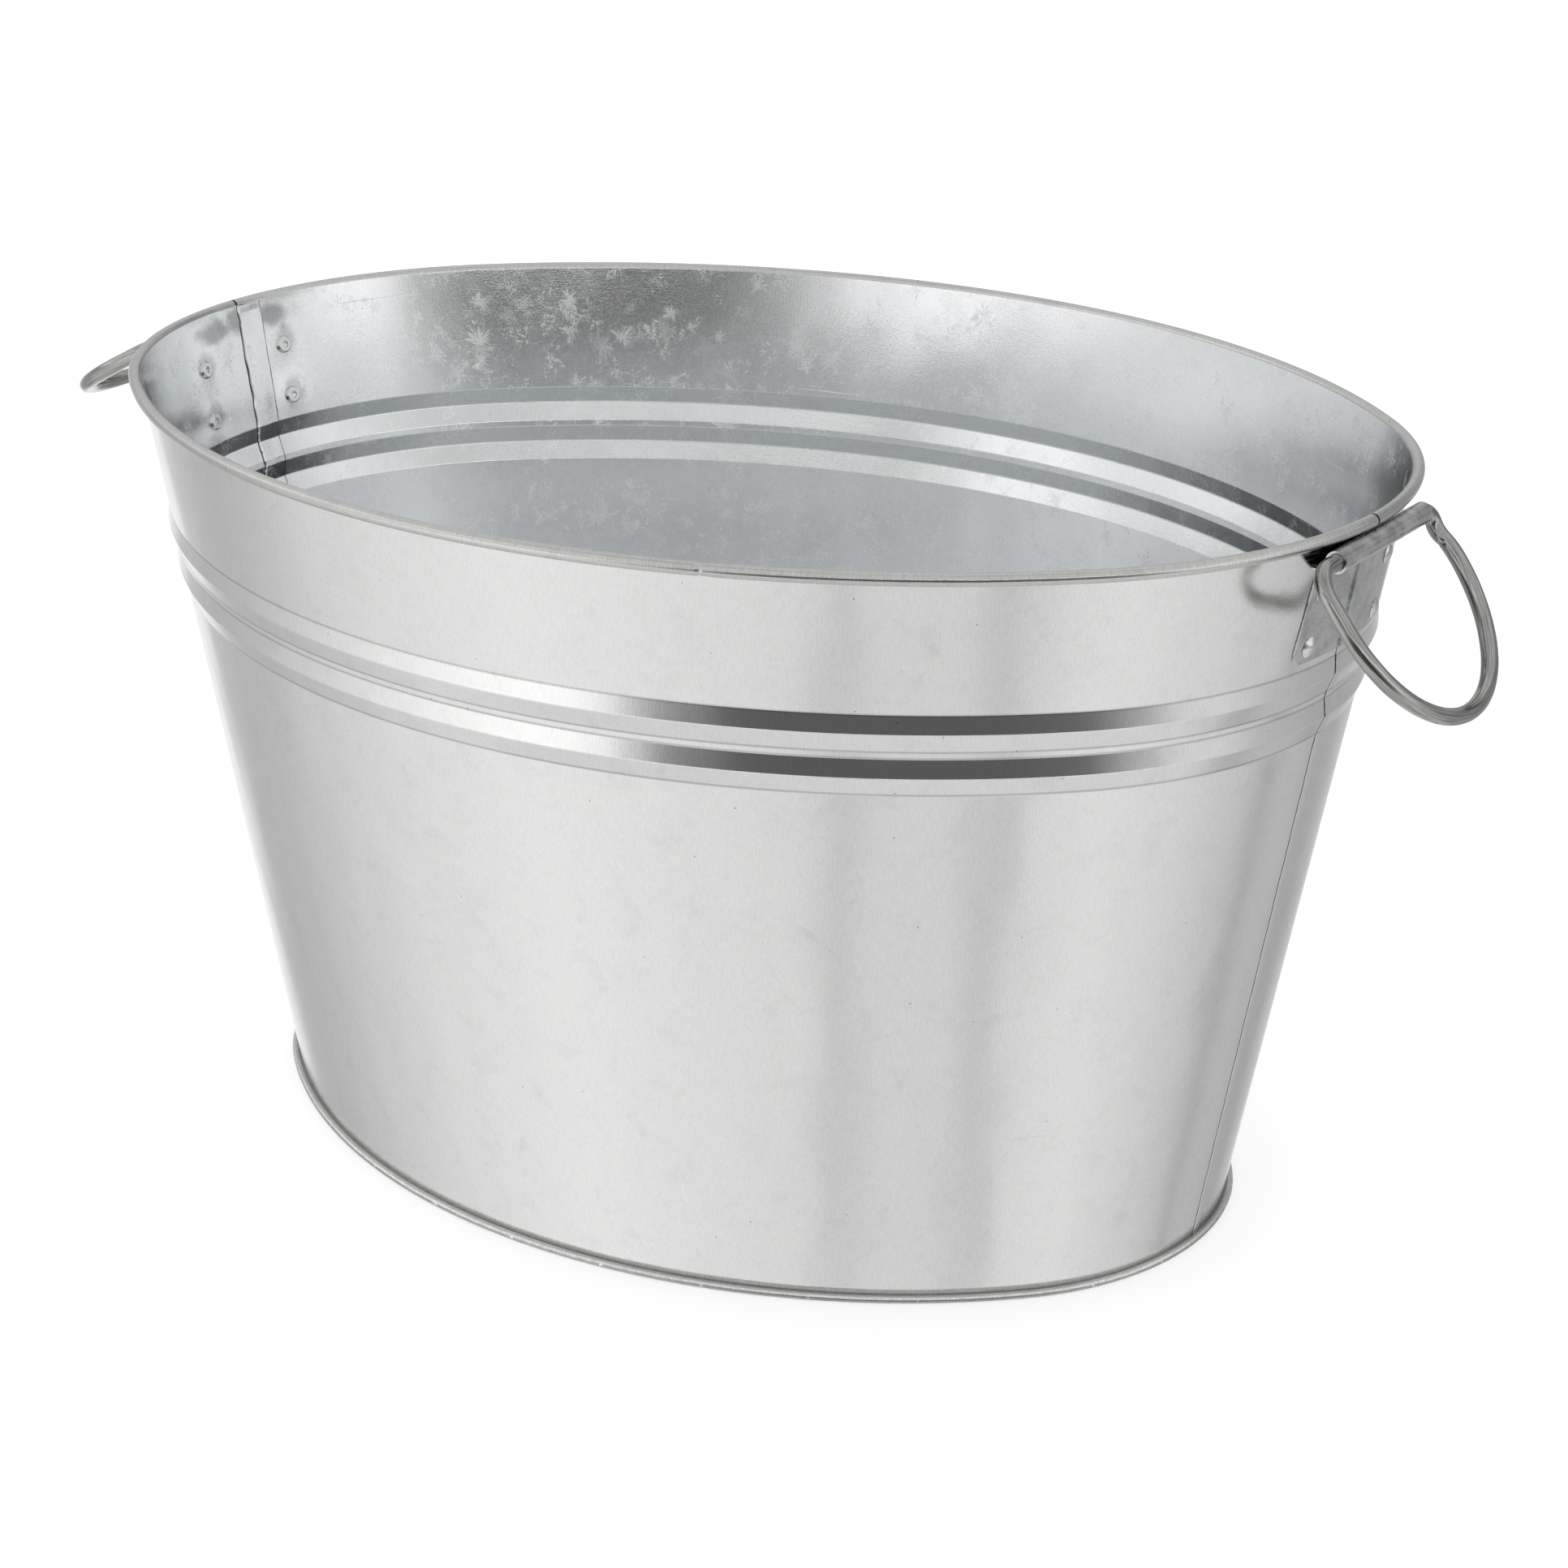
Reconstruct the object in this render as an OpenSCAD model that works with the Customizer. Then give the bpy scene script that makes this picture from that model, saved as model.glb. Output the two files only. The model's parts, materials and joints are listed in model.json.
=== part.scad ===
// Oval wash tub of zinc-coated sheet steel, with two wire handle rings.
// Frame: X runs along the tub's length, Y across it, Z up. The origin is on
// the ground under the middle of the tub. The long ends carry the handles.
// Plan shape: every horizontal section is a four-centre oval. One wall
// profile is swept round the four centres, so the wall leans out by the same
// angle all the way round and the beads stay level.

/* [Tub body] */
// Length of the rim, centre to centre of the rim wire
rim_length = 530; // [500:1:560]
// Width of the rim, centre to centre of the rim wire
rim_width = 409; // [385:1:430]
// Plan radius of both ends, to the centre of the rim wire
end_radius = 162; // [150:1:172]
// Height from the ground to the top of the rolled rim
tub_height = 305; // [270:1:340]
// Angle by which the wall leans out from upright
wall_lean = 9.75; // [7:0.25:11]
// Thickness of the wall sheets
sheet_t = 0.7; // [0.5:0.05:0.9]
// Thickness of the bottom sheet
floor_t = 0.8; // [0.6:0.05:1]
// Space between folded layers, filled with zinc on the real tub
layer_gap = 0.1; // [0.05:0.01:0.15]

/* [Rolled rim] */
// Diameter of the wire inside the rolled rim
rim_wire_d = 3.3; // [2.6:0.1:4.5]
// Space between the rim wire and the sheet rolled round it
rim_wire_gap = 0.05; // [0.03:0.01:0.1]
// How far round the wire the sheet is rolled, in degrees
rim_roll_turn = 304; // [270:1:306]
// Gap between the two ends of the rim wire
wire_butt_gap = 0.8; // [0.4:0.1:2]
// Place of that butt joint, in degrees right of the front's middle
wire_butt_place = 20; // [5:1:30]

/* [Beads] */
// Distance from the top of the rim down to the upper crease of bead one
bead_drop = 54.4; // [50:0.2:70]
// Height of each bead between its two creases
bead_height = 14.6; // [12:0.2:18]
// How far down from its upper crease the ridge of a bead lies
bead_ridge_drop = 6.7; // [5:0.1:8]
// How far the ridge of a bead stands out from the wall
bead_depth = 1.75; // [1:0.05:3]
// Height of the plain strip between the two beads
bead_strip = 2.6; // [1.6:0.1:5]
// Length of the blunt nose of a ridge, along the wall
bead_nose = 1.4; // [0.6:0.1:2]

/* [Side seams] */
// Width of the lock seam at each end of the tub, at mid height
seam_width = 7.5; // [6:0.1:9]
// Distance from the rim's centre line down to the top of the seam folds
seam_top_drop = 5; // [4:0.5:8]
// Height of the foot of the seam folds above the ground
seam_foot = 5; // [4:0.5:10]

/* [Bottom seam] */
// How far the bottom seam stands out from the wall
chime_out = 3.4; // [3:0.1:4.5]
// Thickness of the sealing strip on both sides of the wall's flange
seal_t = 0.2; // [0.15:0.05:0.3]
// Width of the flat ring of the bottom, inside the wall
floor_ring = 9; // [6:0.5:14]
// Height of the raised floor above the ground
floor_rise = 4; // [2:0.5:6]
// Width of the slope between the flat ring and the raised floor
floor_slope = 6; // [4:0.5:10]

/* [Handle ears] */
// Thickness of the ear's sheet
ear_t = 0.8; // [0.6:0.05:1]
// Length of the ear's rolled barrel
barrel_length = 72; // [66:1:76]
// How far the left handle sits round towards the front, in degrees
left_handle_turn = 2.8; // [0:0.1:3.2]
// How far the left seam's joint sits round towards the back, in degrees
left_seam_turn = 0.9; // [0:0.1:1.2]
// How far the right seam's joint sits round towards the front, in degrees
right_seam_turn = 1.4; // [0:0.1:1.8]
// Space between the ring wire and the barrel, all round
ring_play = 0.1; // [0.05:0.01:0.1]
// Space between the top of the barrel and the underside of the rolled rim
barrel_rim_gap = 0.4; // [0.3:0.05:1]
// Width of the opening left along the rolled barrel
barrel_slit = 1.2; // [0.8:0.1:2]
// Half width of the ear's plate under the barrel
ear_top_half = 32.5; // [30:0.5:36]
// Half width of the ear's plate at its foot
ear_foot_half = 34.5; // [32:0.5:38]
// Space between the foot of the plate and the first bead
ear_bead_gap = 4; // [2:0.5:8]
// Radius of the plate's lower corners
ear_corner = 5; // [3:0.5:8]
// Half width of the pressed channel that bridges the side seam
swage_half = 5.5; // [4.5:0.5:7]
// How far the pressed channel stands out
swage_depth = 0.7; // [0.4:0.1:1]

/* [Rivets] */
// Distance of each rivet from the middle of the ear, along the wall
rivet_half = 26.3; // [24:0.1:28]
// Height of the upper rivets below the centre of the barrel
rivet_upper_drop = 13.8; // [12:0.2:16]
// Height of the lower rivets below the centre of the barrel
rivet_lower_drop = 35.6; // [33:0.2:38]
// Diameter of a rivet's shank
rivet_d = 4; // [3:0.1:5]
// Space between a shank and its hole, all round
rivet_gap = 0.05; // [0.03:0.01:0.1]
// Diameter of a rivet's domed head
rivet_head_d = 8.4; // [7:0.1:10]
// Height of a rivet's domed head
rivet_head_h = 1.7; // [1.2:0.1:2.2]
// Diameter of a rivet's clinched tail inside the tub
rivet_tail_d = 7; // [6:0.1:8]
// Height of a rivet's clinched tail
rivet_tail_h = 1.3; // [1:0.1:1.8]
// Diameter of the hollow in a rivet's tail
rivet_hollow_d = 3; // [2:0.1:3.4]

/* [Handle rings] */
// Diameter of the ring wire
ring_wire_d = 6.4; // [5.5:0.1:7]
// Half width of the ring at its top, to the centre of the wire
ring_half = 48.6; // [47:0.1:51]
// Plan radius of the two top corners, to the centre of the wire
ring_corner = 11; // [9:0.5:12]
// Distance from the barrel's centre down to the centre of the round foot
ring_foot_drop = 21; // [20:0.5:30]
// How far the ring's two legs spread towards the foot, in degrees
leg_splay = 5.7; // [2:0.1:6.5]
// How far the right ring hangs below level, in degrees
right_ring_hang = 52.6; // [0:0.1:90]
// How far the left ring hangs below level, in degrees
left_ring_hang = 28.6; // [0:0.1:90]

/* [Hidden] */
$fn = 96;
eps = 0.01;
// Where two sweeps meet, one is drawn this much slimmer and laps into the other
lap = 0.01;
lap_turn = 0.02;
// Flats round the rolled rim's section
roll_facets = 20;

// Plan of the rim: four arcs that meet smoothly
half_l = rim_length / 2;
half_w = rim_width / 2;
end_x = half_l - end_radius;
side_radius = (end_x * end_x + half_w * half_w - end_radius * end_radius) / (2 * (half_w - end_radius));
side_y = side_radius - half_w;
turn = atan2(side_y, end_x);

// Heights and the wall line; u is the distance out from the rim wire's line
roll_in = rim_wire_d / 2 + rim_wire_gap;
roll_out = roll_in + sheet_t;
rim_z = tub_height - roll_out;
lean_s = sin(wall_lean);
lean_c = cos(wall_lean);
lean_t = tan(wall_lean);
touch_u = -roll_in * lean_c;
touch_z = rim_z + roll_in * lean_s;
function wall_u(z) = touch_u - (touch_z - z) * lean_t;

// Bottom seam: bottom sheet, seal, wall flange, seal, folded bottom sheet
flange_z = floor_t + seal_t;
flange_top = flange_z + sheet_t;
chime_h = flange_top + seal_t + floor_t;
base_u = wall_u(0);
flange_end = base_u + chime_out - floor_t - 2 * seal_t;

// Beads, as points on the outside of the wall
bead_z = [for (i = [0:1]) tub_height - bead_drop - i * (bead_height + bead_strip)];
nose = bead_nose / 2;
function on_wall(z, out) = [wall_u(z) + out * lean_c, z - out * lean_s];
function bead_points(top) = [
    on_wall(top, 0),
    on_wall(top - bead_ridge_drop + nose, bead_depth * (1 - nose / bead_ridge_drop)),
    on_wall(top - bead_ridge_drop + nose / 3, bead_depth * 0.985),
    on_wall(top - bead_ridge_drop - nose / 3, bead_depth * 0.985),
    on_wall(top - bead_ridge_drop - nose, bead_depth * (1 - nose / (bead_height - bead_ridge_drop))),
    on_wall(top - bead_height, 0)];
bead_line = concat(bead_points(bead_z[0]), bead_points(bead_z[1]));

function shifted(points, out) = [for (p = points) [p[0] + out * lean_c, p[1] - out * lean_s]];
function backwards(points) = [for (i = [len(points) - 1:-1:0]) points[i]];
function arc(cx, cz, r, from, to, n) = [for (i = [0:n]) let (t = from + (to - from) * i / n) [cx + r * cos(t), cz + r * sin(t)]];

// Folded layers of the side seam: layer 0 is the wall, layer 3 lies innermost
layer = sheet_t + layer_gap;
seam_r = end_radius + wall_u(tub_height / 2);
seam_turn = seam_width / seam_r * 180 / PI;
fold_turn = sheet_t / seam_r * 180 / PI;
gap_turn = layer_gap / seam_r * 180 / PI;
edge_turn = gap_turn / 4;
seam_top = rim_z - seam_top_drop;

// Ear and barrel
barrel_in = ring_wire_d / 2 + ring_play;
barrel_out = barrel_in + ear_t;
barrel_drop = roll_out + barrel_out + barrel_rim_gap;
barrel_z = rim_z - barrel_drop;
barrel_x = half_l + wall_u(barrel_z) + (barrel_out + 0.1) / lean_c;
ear_foot_z = bead_z[0] + ear_bead_gap;
ear_top_z = barrel_z - barrel_out + ear_t;
ear_gap = 0.03;

// Rivets
rivet_z = [barrel_z - rivet_upper_drop, barrel_z - rivet_lower_drop];

// Ring: the round foot touches both legs
ring_straight = ring_half - ring_corner;
ring_foot_radius = ring_straight * cos(leg_splay) + ring_corner + (ring_foot_drop - ring_corner) * sin(leg_splay);
leg_length = (ring_foot_drop - ring_corner) * cos(leg_splay) - ring_straight * sin(leg_splay);

// Hook of the bottom sheet round the wall's flange
hook_r = chime_h / 2;
hook_u = base_u + chime_out - hook_r;
lip_u = wall_u(chime_h) + 0.35;
slope_in = base_u - sheet_t - floor_ring - floor_slope;
slope_out = slope_in + floor_slope;
slope_shift = floor_t * tan(atan2(floor_rise, floor_slope) / 2);

// Section of the wall: flange, wall with beads, and the roll over the wire.
// The roll starts where the wall touches the wire and runs out over the top.
module wall_section(slim) {
    e = slim;
    first = 180 - wall_lean;
    last = first - rim_roll_turn;
    polygon(concat(
        shifted(bead_line, -e),
        [[wall_u(flange_top - e) - e / lean_c, flange_top - e],
        [flange_end - e, flange_top - e], [flange_end - e, flange_z + e],
        [wall_u(flange_z + e) - (sheet_t - e) / lean_c, flange_z + e]],
        backwards(shifted(bead_line, -sheet_t + e)),
        arc(0, rim_z, roll_out - e, first, last, roll_facets),
        arc(0, rim_z, roll_in + e, last, first, roll_facets)));
}

// Section of the folded seam layers, from layer m down to layer n
module seam_section(m, n, slim) {
    line = concat([on_wall(seam_top - slim, 0)], bead_line, [on_wall(seam_foot + slim, 0)]);
    polygon(concat(
        shifted(line, -m * layer - slim),
        backwards(shifted(line, -n * layer - sheet_t + slim))));
}

// Sweeps of a section round one of the four centres
module round_end(from, to) {
    translate([end_x, 0, 0]) rotate([0, 0, from]) rotate_extrude(angle = to - from) translate([end_radius, 0]) children();
}
module round_side(from, to) {
    translate([0, -side_y, 0]) rotate([0, 0, from]) rotate_extrude(angle = to - from) translate([side_radius, 0]) children();
}

// Turns a child on the right end about that end's centre, or places it on the left end
module turned_end(by) {
    translate([end_x, 0, 0]) rotate([0, 0, by]) translate([-end_x, 0, 0]) children();
}
module on_left_end() {
    rotate([0, 0, 180]) turned_end(left_handle_turn) children();
}

// One wall sheet, laid at the back. Its joints sit off the tub's long axis by the turns
// start, on the right end, and finish, on the left end. The handles have turns of their own.
module wall_sheet(start, finish, start_handle, finish_handle) {
    difference() {
        union() {
            round_end(start + gap_turn, turn) wall_section(0);
            round_side(turn - lap_turn, 180 - turn + lap_turn) wall_section(lap);
            rotate([0, 0, 180]) round_end(-turn, finish) wall_section(0);
            // Covering end: folds down at the joint and hooks back
            turned_end(start) {
                round_end(gap_turn + edge_turn, gap_turn + fold_turn) seam_section(0, 2, lap);
                round_end(gap_turn + fold_turn / 2, seam_turn - fold_turn - gap_turn) seam_section(2, 2, 2 * lap);
            }
            // Tucked end: dives under the other sheet and hooks round
            rotate([0, 0, 180]) turned_end(finish) {
                round_end(-fold_turn, -edge_turn) seam_section(0, 3, lap);
                round_end(-fold_turn / 2, seam_turn - fold_turn / 2) seam_section(3, 3, 2 * lap);
                round_end(seam_turn - fold_turn, seam_turn) seam_section(1, 3, lap);
                round_end(2 * gap_turn + fold_turn, seam_turn - fold_turn / 2) seam_section(1, 1, 2 * lap);
            }
        }
        turned_end(start_handle) rivet_holes([1], sheet_t + 2);
        rotate([0, 0, 180]) turned_end(finish_handle) rivet_holes([-1], sheet_t + 2);
    }
}

// The front sheet is laid like the back one and turned half round
module wall_sheet_back() { color([0.80, 0.81, 0.82]) wall_sheet(-right_seam_turn, -left_seam_turn, 0, left_handle_turn); }
module wall_sheet_front() { color([0.82, 0.83, 0.84]) rotate([0, 0, 180]) wall_sheet(-left_seam_turn, -right_seam_turn, left_handle_turn, 0); }

// Hoop of wire inside the rolled rim, closed by a butt joint at the front
module rim_wire() {
    butt = 90 + wire_butt_place;
    half_gap = wire_butt_gap / side_radius * 90 / PI;
    color([0.55, 0.56, 0.57]) {
        round_end(-turn, turn) rim_wire_section();
        rotate([0, 0, 180]) round_end(-turn, turn) rim_wire_section();
        round_side(turn, 180 - turn) rim_wire_section();
        rotate([0, 0, 180]) round_side(turn, butt - half_gap) rim_wire_section();
        rotate([0, 0, 180]) round_side(butt + half_gap, 180 - turn) rim_wire_section();
    }
}
module rim_wire_section() {
    translate([0, rim_z]) circle(d = rim_wire_d);
}

// Bottom sheet: raised floor, flat ring and the hook round the wall's flange
module pan_section(reach) {
    polygon(concat(
        [[-reach, floor_rise], [slope_in, floor_rise], [slope_out, 0]],
        arc(hook_u, hook_r, hook_r, -90, 90, 12),
        [[lip_u, chime_h], [lip_u, chime_h - floor_t]],
        arc(hook_u, hook_r, hook_r - floor_t, 90, -90, 8),
        [[slope_out + slope_shift, floor_t], [slope_in + slope_shift, floor_rise + floor_t],
        [-reach, floor_rise + floor_t]]));
}
module bottom_pan() {
    color([0.74, 0.75, 0.76]) for (side = [0, 180]) rotate([0, 0, side]) {
        round_end(-turn, turn) pan_section(end_radius);
        intersection() {
            round_side(turn, 180 - turn) pan_section(side_radius);
            translate([-rim_length, 0, -eps]) cube([2 * rim_length, rim_width, floor_rise + chime_h + 2]);
        }
    }
}

// Sealing strip folded round the flange inside the bottom seam
module seal_section(slim) {
    slack = 0.02 + slim;
    start = wall_u(flange_top) + 0.5;
    r = hook_r - floor_t - slack;
    polygon(concat(
        [[start, hook_r - r]], arc(hook_u, hook_r, r, -90, 90, 8), [[start, hook_r + r]],
        [[start, flange_top + slack], [flange_end + slack, flange_top + slack],
        [flange_end + slack, flange_z - slack], [start, flange_z - slack]]));
}
module bottom_seam_seal() {
    color([0.45, 0.45, 0.44]) for (side = [0, 180]) rotate([0, 0, side]) {
        round_end(-turn, turn) seal_section(0);
        round_side(turn - lap_turn, 180 - turn + lap_turn) seal_section(lap);
    }
}

// Places a child on the outside of the wall's right end, Z pointing outwards
module on_end(z, sideways) {
    r = end_radius + wall_u(z);
    translate([end_x, 0, 0]) rotate([0, 0, asin(sideways / r)]) translate([r, 0, z]) rotate([0, 90 + wall_lean, 0]) children();
}
module rivet_holes(sides, reach) {
    for (s = sides) for (z = rivet_z) on_end(z, s * rivet_half)
        translate([0, 0, -reach]) cylinder(r = rivet_d / 2 + rivet_gap, h = 2 * reach);
}

// Handle ear: plate on the wall, pressed channel over the seam, rolled barrel
module ear_strip(from, to, top) {
    polygon([
        [wall_u(ear_foot_z - 1) + from, ear_foot_z - 1], [wall_u(ear_foot_z - 1) + to, ear_foot_z - 1],
        [wall_u(top) + to, top], [wall_u(top) + from, top]]);
}
module ear_outline(z_top) {
    polygon(concat(
        [[ear_top_half, z_top], [-ear_top_half, z_top]],
        arc(-ear_foot_half + ear_corner, ear_foot_z + ear_corner, ear_corner, 180, 270, 6),
        arc(ear_foot_half - ear_corner, ear_foot_z + ear_corner, ear_corner, 270, 360, 6)));
}
module handle_ear() {
    reach = 16;
    out = ear_t / lean_c;
    rise = swage_depth / lean_c;
    near = ear_gap / lean_c;
    wide = swage_half / end_radius * 180 / PI;
    thin = (swage_half - ear_t) / end_radius * 180 / PI;
    shelf_low = barrel_z - barrel_out + ear_t / 10;
    shelf_high = barrel_z - barrel_in - ear_t / 10;
    union() {
        difference() {
            intersection() {
                union() {
                    round_end(-reach, reach) ear_strip(near, near + out, shelf_high);
                    round_end(-wide, wide) ear_strip(near, near + out + rise, shelf_high);
                }
                translate([end_x, 0, 0]) rotate([90, 0, 90]) linear_extrude(end_radius + 20) ear_outline(shelf_high);
            }
            round_end(-thin, thin) ear_strip(near - 1, near + rise, shelf_low);
            rivet_holes([-1, 1], 3);
        }
        translate([0, 0, shelf_low]) linear_extrude(shelf_high - shelf_low) difference() {
            translate([end_x, -barrel_length / 2]) square([barrel_x - ear_t - end_x, barrel_length]);
            translate([end_x, 0]) circle(r = end_radius + wall_u(shelf_high) + near, $fn = 240);
        }
        translate([barrel_x, 0, barrel_z]) rotate([90, 0, 0]) difference() {
            cylinder(r = barrel_out, h = barrel_length, center = true);
            cylinder(r = barrel_in, h = barrel_length + 2, center = true);
            rotate([0, 0, 225]) translate([barrel_in - 1, -barrel_slit / 2, -barrel_length / 2 - 1])
                cube([ear_t + 2, barrel_slit, barrel_length + 2]);
        }
    }
}
module handle_ear_right() { color([0.58, 0.59, 0.60]) handle_ear(); }
module handle_ear_left() { color([0.58, 0.59, 0.60]) on_left_end() handle_ear(); }

// Handle ring, level: its straight side lies in the barrel, along Y
module ring_bend(r, from, to) {
    rotate([0, 0, from]) rotate_extrude(angle = to - from) translate([r, 0]) circle(d = ring_wire_d);
}
module ring_shape() {
    leg = 90 + leg_splay;
    slim_d = ring_wire_d - 2 * lap;
    run = 5 * lap;
    rotate([90, 0, 0]) cylinder(d = slim_d, h = 2 * ring_straight + 2 * run, center = true);
    translate([ring_foot_drop, 0, 0]) ring_bend(ring_foot_radius, -leg, leg);
    for (s = [0, 1]) mirror([0, s, 0]) translate([ring_corner, ring_straight, 0]) {
        ring_bend(ring_corner, leg, 180);
        rotate([0, 0, leg]) translate([ring_corner, run, 0]) rotate([90, 0, 0]) cylinder(d = slim_d, h = leg_length + 2 * run);
    }
}
module handle_ring(hang) {
    translate([barrel_x, 0, barrel_z]) rotate([0, hang, 0]) ring_shape();
}
module handle_ring_right() { color([0.50, 0.51, 0.52]) handle_ring(right_ring_hang); }
module handle_ring_left() { color([0.50, 0.51, 0.52]) on_left_end() handle_ring(left_ring_hang); }

// Rivet: low domed head outside, hollow clinched tail inside the tub
module rivet() {
    seat = ear_gap + ear_t + rivet_gap;
    dome_r = rivet_head_d * rivet_head_d / (8 * rivet_head_h) + rivet_head_h / 2;
    tail_z = -sheet_t - rivet_gap;
    rim = rivet_tail_h / 2;
    difference() {
        union() {
            intersection() {
                translate([0, 0, seat + rivet_head_h - dome_r]) sphere(r = dome_r);
                translate([0, 0, seat]) cylinder(d = rivet_head_d + 1, h = rivet_head_h + 1);
            }
            translate([0, 0, tail_z - rivet_tail_h / 2]) cylinder(d = rivet_d, h = seat - tail_z + rivet_tail_h / 2 + rivet_head_h / 4);
            translate([0, 0, tail_z - rivet_tail_h]) rotate_extrude() {
                square([rivet_tail_d / 2 - rim, rivet_tail_h]);
                translate([rivet_tail_d / 2 - rim, rim]) circle(r = rim);
            }
        }
        translate([0, 0, tail_z - rivet_tail_h - 1]) cylinder(d = rivet_hollow_d, h = rivet_tail_h + 1 + sheet_t);
    }
}
module right_rivet(row, side) { color([0.66, 0.67, 0.68]) on_end(rivet_z[row], side * rivet_half) rivet(); }
module left_rivet(row, side) { on_left_end() right_rivet(row, -side); }

wall_sheet_front();
wall_sheet_back();
rim_wire();
bottom_pan();
bottom_seam_seal();
handle_ear_right();
handle_ear_left();
handle_ring_right();
handle_ring_left();
right_rivet(0, -1);  // rivet_right_front_upper
right_rivet(1, -1);  // rivet_right_front_lower
right_rivet(0, 1);  // rivet_right_back_upper
right_rivet(1, 1);  // rivet_right_back_lower
left_rivet(0, -1);  // rivet_left_front_upper
left_rivet(1, -1);  // rivet_left_front_lower
left_rivet(0, 1);  // rivet_left_back_upper
left_rivet(1, 1);  // rivet_left_back_lower
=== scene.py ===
import json
import math

import bpy
import numpy as np
from mathutils import Euler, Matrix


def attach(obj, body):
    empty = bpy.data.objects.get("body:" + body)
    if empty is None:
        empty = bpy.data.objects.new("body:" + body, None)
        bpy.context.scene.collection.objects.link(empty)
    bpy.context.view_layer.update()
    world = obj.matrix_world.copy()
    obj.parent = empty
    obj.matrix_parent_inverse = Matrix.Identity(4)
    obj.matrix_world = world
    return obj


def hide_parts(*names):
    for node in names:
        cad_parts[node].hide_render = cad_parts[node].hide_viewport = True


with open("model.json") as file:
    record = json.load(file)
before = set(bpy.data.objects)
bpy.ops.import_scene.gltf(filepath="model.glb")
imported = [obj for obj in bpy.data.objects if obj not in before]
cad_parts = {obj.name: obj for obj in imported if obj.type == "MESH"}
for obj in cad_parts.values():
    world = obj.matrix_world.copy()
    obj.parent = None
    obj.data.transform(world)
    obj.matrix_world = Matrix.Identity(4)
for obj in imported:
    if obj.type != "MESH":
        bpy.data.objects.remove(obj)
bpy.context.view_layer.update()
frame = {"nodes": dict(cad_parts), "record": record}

MM = 0.001
RAD = math.pi / 180

# Sizes of the tub, as in the solids, in millimetres
END_RADIUS, HALF_L, HALF_W, HEIGHT = 162.0, 265.0, 204.5, 305.0
LEAN = 9.75 * RAD
SHEET, LAYER = 0.7, 0.8
ROLL_IN, ROLL_OUT, ROLL_TURN = 1.7, 2.4, 304 * RAD
RIM_Z = HEIGHT - ROLL_OUT
BEAD_DROP, BEAD_H, RIDGE, BEAD_OUT, STRIP = 54.4, 14.6, 6.7, 1.75, 2.6
SEAM_W = 7.5
BOTTOM_SEAM_OUT, BOTTOM_SEAM_H, HOOK_R = 3.4, 2.7, 1.35
FLANGE_Z, FLANGE_TOP = 1.0, 1.7
RIVET_HALF, RIVET_Z = 26.3, (281.9, 260.1)
WIRE_R, WIRE_ROUND = 3.17, 20.1
SKIN = 0.035  # how thick the outside skin lies on the bottom seam
FOLD = 0.7  # how proud of the sheet a seam's pressed fold stands inside
LAP = 0.24  # how proud the lapped end of a sheet stands outside
CRACK_EDGE = 0.4  # radius of a sheet's folded edge at a crack
FOLD_EDGE = 0.8  # radius of the fold's edge inside
PLATE_HALF, PLATE_FLARE, PLATE_END = 32.5, 0.0935, 48.9  # an ear's plate on the wall

# How fine the meshes are, in millimetres and in points
WALL_STEP, BEAD_STEP, SEAM_STEP, RING_STEP = 3.0, 0.16, 4, 0.8
ROLL_POINTS, RING_POINTS, TAIL_POINTS = 44, 28, 40

# The oval's side arcs, and the wall's lean
END_X = HALF_L - END_RADIUS
SIDE_RADIUS = (END_X**2 + HALF_W**2 - END_RADIUS**2) / (2 * (HALF_W - END_RADIUS))
SIDE_Y = SIDE_RADIUS - HALF_W
TURN = math.atan2(SIDE_Y, END_X)
LC, LS, LT = math.cos(LEAN), math.sin(LEAN), math.tan(LEAN)
TOUCH_U, TOUCH_Z = -ROLL_IN * LC, RIM_Z + ROLL_IN * LS


def wall_u(z):
    """Where the wall's outside is at height z, outwards from the rim wire's line."""
    return TOUCH_U - (TOUCH_Z - z) * LT


BASE_U = wall_u(0)
FLANGE_END = BASE_U + BOTTOM_SEAM_OUT - LAYER - 0.4

# Plan of the oval, counted from the right seam anticlockwise round to it again:
# each arc's centre, radius, first and last angle
ARCS = [
    (END_X, 0.0, END_RADIUS, 0.0, TURN),
    (0.0, -SIDE_Y, SIDE_RADIUS, TURN, math.pi - TURN),
    (-END_X, 0.0, END_RADIUS, math.pi - TURN, math.pi + TURN),
    (0.0, SIDE_Y, SIDE_RADIUS, math.pi + TURN, 2 * math.pi - TURN),
    (END_X, 0.0, END_RADIUS, 2 * math.pi - TURN, 2 * math.pi),
]
LENGTHS = [a[2] * (a[4] - a[3]) for a in ARCS]
STARTS = [sum(LENGTHS[:i]) for i in range(5)]
AROUND = sum(LENGTHS)

# Places round the oval: the two seams' joints, the left handle's middle and the rim
# wire's butt joint, which dents the roll above it. The right handle's middle is at 0,
# and the left one is turned a little towards the front.
LEFT_TURN, BUTT_TURN = 2.8 * RAD, 290 * RAD
RIGHT_SEAM = -1.4 * RAD * END_RADIUS
LEFT_SEAM = AROUND / 2 - 0.9 * RAD * END_RADIUS
LEFT_HANDLE = AROUND / 2 + LEFT_TURN * END_RADIUS
BUTT_S = STARTS[3] + SIDE_RADIUS * (BUTT_TURN - math.pi - TURN)


# Shared helpers
def place(s):
    """Centre, radius and angle of the oval at arc length s, in millimetres."""
    s %= AROUND
    for (cx, cy, r, a, _), start, length in zip(ARCS, STARTS, LENGTHS):
        if s <= start + length + 1e-9:
            break
    return cx, cy, r, a + (s - start) / r


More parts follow.
